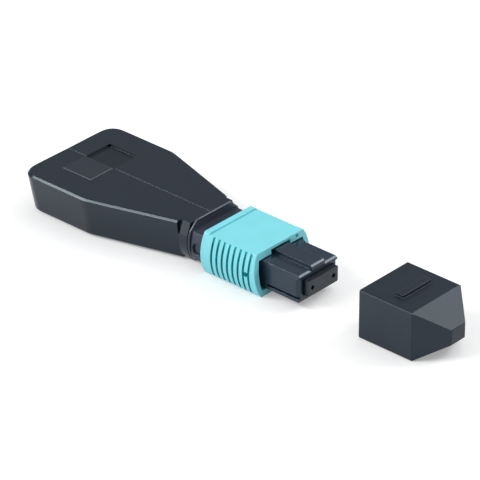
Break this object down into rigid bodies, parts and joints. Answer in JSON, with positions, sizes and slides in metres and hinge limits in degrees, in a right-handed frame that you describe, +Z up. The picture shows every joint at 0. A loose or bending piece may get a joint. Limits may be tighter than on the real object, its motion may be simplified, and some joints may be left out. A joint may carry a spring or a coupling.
{
  "type": "mpo fibre connector",
  "caption": "Black two-part multi-fibre loopback plug with an aqua sliding coupling sleeve, keyed nose and guide-hole ferrule; its dust cap stands beside it, taken off.",
  "frame": {"origin": "middle of the ferrule's polished end face, between the two guide holes", "axes": "+X along the plug axis out of the mating end, +Y across the plug to its right half, +Z up, key side up"},
  "size_m": [0.0751, 0.0198, 0.0083],
  "materials": {
    "shell_black": "satin",
    "sleeve_aqua": "satin",
    "plug_black": "semi-gloss",
    "ferrule_black": "polished end face",
    "boot_white": "matte",
    "keeper_steel": "stamped",
    "spring_steel": "drawn wire",
    "cap_black": "fine grain",
    "fibre_aqua": "coated"
  },
  "bodies": {
    "housing": {"left_shell": "shell_black", "right_shell": "shell_black", "plug_frame": "plug_black", "spring_push": "plug_black", "coupling_spring_left": "spring_steel", "coupling_spring_right": "spring_steel", "ferrule_spring": "spring_steel", "dust_cap": "cap_black"},
    "sleeve": {"coupling_sleeve": "sleeve_aqua"},
    "ferrule": {"ferrule": "ferrule_black", "ferrule_boot": "boot_white", "pin_keeper": "keeper_steel", "fibre_loop_1": "fibre_aqua", "fibre_loop_2": "fibre_aqua", "fibre_loop_3": "fibre_aqua", "fibre_loop_4": "fibre_aqua", "fibre_loop_5": "fibre_aqua", "fibre_loop_6": "fibre_aqua"}
  },
  "joints": [
    {"name": "sleeve_slide", "type": "slide", "parent": "housing", "child": "sleeve", "axis": [-1, 0, 0], "range_m": [0, 0.002], "stiffness_N_per_m": 600, "springref_m": -0.002, "deforming": ["coupling_spring_left", "coupling_spring_right"]},
    {"name": "ferrule_float", "type": "slide", "parent": "housing", "child": "ferrule", "axis": [-1, 0, 0], "range_m": [0, 0.0008], "stiffness_N_per_m": 2000, "springref_m": -0.003, "deforming": ["ferrule_spring"]}
  ]
}
